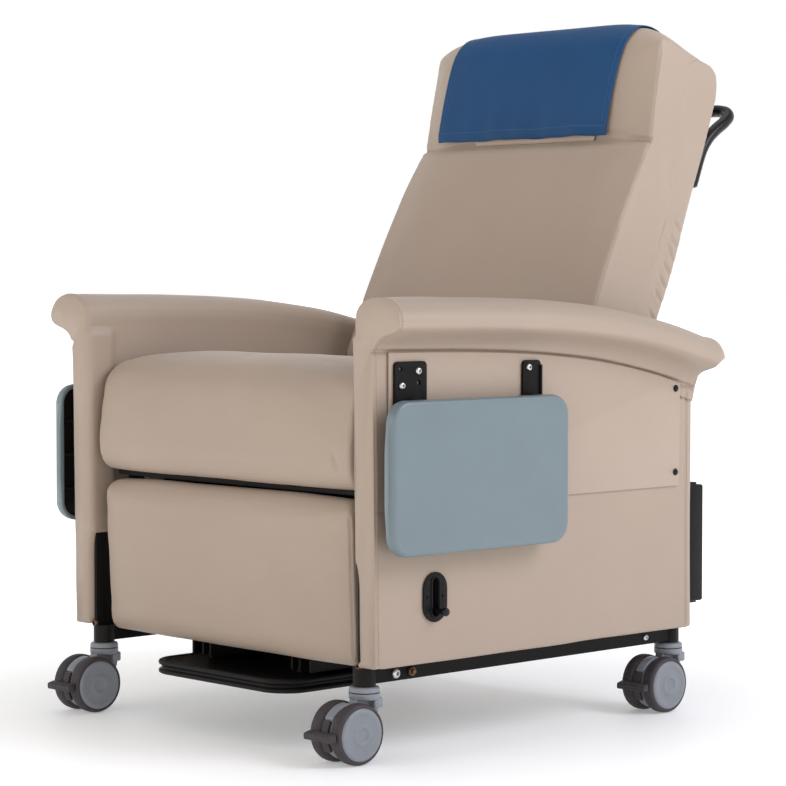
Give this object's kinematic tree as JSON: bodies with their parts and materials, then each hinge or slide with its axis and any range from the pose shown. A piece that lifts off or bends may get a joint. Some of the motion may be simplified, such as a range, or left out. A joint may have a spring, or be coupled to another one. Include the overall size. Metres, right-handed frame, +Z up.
{
  "type": "patient recliner chair",
  "caption": "Padded clinical recliner with scrolled arms, fold-down side tables, lifting legrest, slide-out foot tray, push bar and braked twin-wheel casters.",
  "frame": {"origin": "on the floor, under the middle of the overall length and width with the back upright", "axes": "+Z up, -Y towards the front where the occupant faces, +X towards the occupant's left"},
  "size_m": [0.9338, 1.128, 1.2408],
  "materials": {
    "beige_vinyl": "coated vinyl upholstery with a fine grain, matte",
    "blue_vinyl": "coated vinyl, matte",
    "slate_plastic": "moulded, satin gloss",
    "black_steel": "black powder coat",
    "black_plastic": "moulded, matte",
    "caster_grey": "moulded, satin",
    "tyre_grey": "matte",
    "plywood": "plain",
    "zinc_steel": "zinc plated"
  },
  "bodies": {
    "base": {"base_cross_front": "black_steel", "base_cross_rear": "black_steel", "seat_cross_front": "black_steel", "seat_cross_rear": "black_steel", "seat_deck": "plywood", "seat_cushion": "beige_vinyl", "tray_housing": "black_steel", "lever_plate": "black_plastic", "rear_box": "black_plastic", "gas_spring_cylinder": "black_steel", "side_frame_left": "black_steel", "side_panel_left": "beige_vinyl", "inset_panel_left": "beige_vinyl", "arm_roll_left": "beige_vinyl", "table_bracket_front_left": "black_steel", "table_bracket_rear_left": "black_steel", "side_frame_right": "black_steel", "side_panel_right": "beige_vinyl", "inset_panel_right": "beige_vinyl", "arm_roll_right": "beige_vinyl", "table_bracket_front_right": "black_steel", "table_bracket_rear_right": "black_steel"},
    "back": {"back_frame": "black_steel", "back_cushion": "beige_vinyl", "head_pillow": "beige_vinyl", "back_shell": "beige_vinyl", "head_cover": "blue_vinyl", "push_bar": "black_steel"},
    "spring_rod": {"gas_spring_rod": "zinc_steel"},
    "legrest_links": {"legrest_link_left": "black_steel", "legrest_link_right": "black_steel", "legrest_tube": "black_steel"},
    "legrest_panel": {"legrest_pad": "beige_vinyl", "legrest_board": "plywood", "legrest_hinge_left": "black_steel", "legrest_hinge_right": "black_steel"},
    "tray": {"foot_tray": "black_plastic"},
    "lever": {"release_lever": "black_plastic"},
    "table_left": {"table_top_left": "slate_plastic", "table_base_left": "black_plastic", "table_pin_left": "zinc_steel"},
    "caster_front_left": {"caster_horn_front_left": "caster_grey"},
    "wheel_front_left_a": {"caster_wheel_front_left_a": "tyre_grey"},
    "wheel_front_left_b": {"caster_wheel_front_left_b": "tyre_grey"},
    "pedal_front_left": {"brake_pedal_front_left": "tyre_grey"},
    "caster_rear_left": {"caster_horn_rear_left": "caster_grey"},
    "wheel_rear_left_a": {"caster_wheel_rear_left_a": "tyre_grey"},
    "wheel_rear_left_b": {"caster_wheel_rear_left_b": "tyre_grey"},
    "pedal_rear_left": {"brake_pedal_rear_left": "tyre_grey"},
    "table_right": {"table_top_right": "slate_plastic", "table_base_right": "black_plastic", "table_pin_right": "zinc_steel"},
    "caster_front_right": {"caster_horn_front_right": "caster_grey"},
    "wheel_front_right_a": {"caster_wheel_front_right_a": "tyre_grey"},
    "wheel_front_right_b": {"caster_wheel_front_right_b": "tyre_grey"},
    "pedal_front_right": {"brake_pedal_front_right": "tyre_grey"},
    "caster_rear_right": {"caster_horn_rear_right": "caster_grey"},
    "wheel_rear_right_a": {"caster_wheel_rear_right_a": "tyre_grey"},
    "wheel_rear_right_b": {"caster_wheel_rear_right_b": "tyre_grey"},
    "pedal_rear_right": {"brake_pedal_rear_right": "tyre_grey"}
  },
  "joints": [
    {"name": "back_recline", "type": "hinge", "parent": "base", "child": "back", "pos_m": [0, 0.205, 0.535], "axis": [-1, 0, 0], "range_deg": [0, 50]},
    {"name": "gas_spring_slide", "type": "slide", "parent": "base", "child": "spring_rod", "axis": [0, -0.9367, -0.3502], "range_m": [0, 0.0765]},
    {"name": "legrest_lift", "type": "hinge", "parent": "base", "child": "legrest_links", "pos_m": [0, -0.398, 0.515], "axis": [-1, 0, 0], "range_deg": [0, 90.5]},
    {"name": "legrest_tilt", "type": "hinge", "parent": "legrest_links", "child": "legrest_panel", "pos_m": [0, -0.383, 0.36], "axis": [-1, 0, 0], "range_deg": [-14.2, 0]},
    {"name": "foot_tray_slide", "type": "slide", "parent": "base", "child": "tray", "axis": [0, -1, 0], "range_m": [0, 0.2]},
    {"name": "release_lever_lift", "type": "hinge", "parent": "base", "child": "lever", "pos_m": [0.347, -0.194, 0.262], "axis": [-1, 0, 0], "range_deg": [0, 16], "stiffness_Nm_per_rad": 1},
    {"name": "table_left_lift", "type": "hinge", "parent": "base", "child": "table_left", "pos_m": [0.424, -0.275, 0.5795], "axis": [0, -1, 0], "range_deg": [0, 90]},
    {"name": "caster_swivel_front_left", "type": "hinge", "parent": "base", "child": "caster_front_left", "pos_m": [0.35, -0.46, 0.111], "axis": [0, 0, 1], "continuous": true},
    {"name": "wheel_spin_front_left_a", "type": "hinge", "parent": "caster_front_left", "child": "wheel_front_left_a", "pos_m": [0.35, -0.498, 0.05], "axis": [1, 0, 0], "continuous": true},
    {"name": "wheel_spin_front_left_b", "type": "hinge", "parent": "caster_front_left", "child": "wheel_front_left_b", "pos_m": [0.35, -0.498, 0.05], "axis": [1, 0, 0], "continuous": true},
    {"name": "brake_pedal_press_front_left", "type": "hinge", "parent": "caster_front_left", "child": "pedal_front_left", "pos_m": [0.35, -0.498, 0.05], "axis": [1, 0, 0], "range_deg": [0, 12]},
    {"name": "caster_swivel_rear_left", "type": "hinge", "parent": "base", "child": "caster_rear_left", "pos_m": [0.35, 0.288, 0.111], "axis": [0, 0, 1], "continuous": true},
    {"name": "wheel_spin_rear_left_a", "type": "hinge", "parent": "caster_rear_left", "child": "wheel_rear_left_a", "pos_m": [0.35, 0.25, 0.05], "axis": [1, 0, 0], "continuous": true},
    {"name": "wheel_spin_rear_left_b", "type": "hinge", "parent": "caster_rear_left", "child": "wheel_rear_left_b", "pos_m": [0.35, 0.25, 0.05], "axis": [1, 0, 0], "continuous": true},
    {"name": "brake_pedal_press_rear_left", "type": "hinge", "parent": "caster_rear_left", "child": "pedal_rear_left", "pos_m": [0.35, 0.25, 0.05], "axis": [1, 0, 0], "range_deg": [0, 12]},
    {"name": "table_right_lift", "type": "hinge", "parent": "base", "child": "table_right", "pos_m": [-0.424, -0.275, 0.5795], "axis": [0, 1, 0], "range_deg": [0, 90]},
    {"name": "caster_swivel_front_right", "type": "hinge", "parent": "base", "child": "caster_front_right", "pos_m": [-0.35, -0.46, 0.111], "axis": [0, 0, 1], "continuous": true},
    {"name": "wheel_spin_front_right_a", "type": "hinge", "parent": "caster_front_right", "child": "wheel_front_right_a", "pos_m": [-0.35, -0.498, 0.05], "axis": [1, 0, 0], "continuous": true},
    {"name": "wheel_spin_front_right_b", "type": "hinge", "parent": "caster_front_right", "child": "wheel_front_right_b", "pos_m": [-0.35, -0.498, 0.05], "axis": [1, 0, 0], "continuous": true},
    {"name": "brake_pedal_press_front_right", "type": "hinge", "parent": "caster_front_right", "child": "pedal_front_right", "pos_m": [-0.35, -0.498, 0.05], "axis": [1, 0, 0], "range_deg": [0, 12]},
    {"name": "caster_swivel_rear_right", "type": "hinge", "parent": "base", "child": "caster_rear_right", "pos_m": [-0.35, 0.288, 0.111], "axis": [0, 0, 1], "continuous": true},
    {"name": "wheel_spin_rear_right_a", "type": "hinge", "parent": "caster_rear_right", "child": "wheel_rear_right_a", "pos_m": [-0.35, 0.25, 0.05], "axis": [1, 0, 0], "continuous": true},
    {"name": "wheel_spin_rear_right_b", "type": "hinge", "parent": "caster_rear_right", "child": "wheel_rear_right_b", "pos_m": [-0.35, 0.25, 0.05], "axis": [1, 0, 0], "continuous": true},
    {"name": "brake_pedal_press_rear_right", "type": "hinge", "parent": "caster_rear_right", "child": "pedal_rear_right", "pos_m": [-0.35, 0.25, 0.05], "axis": [1, 0, 0], "range_deg": [0, 12]}
  ],
  "couplings": [
    {"joint": "gas_spring_slide", "follows": "back_recline", "m_per_rad": 0.0872},
    {"joint": "legrest_lift", "follows": "back_recline", "ratio": 1.8},
    {"joint": "legrest_tilt", "follows": "back_recline", "ratio": -0.28}
  ]
}
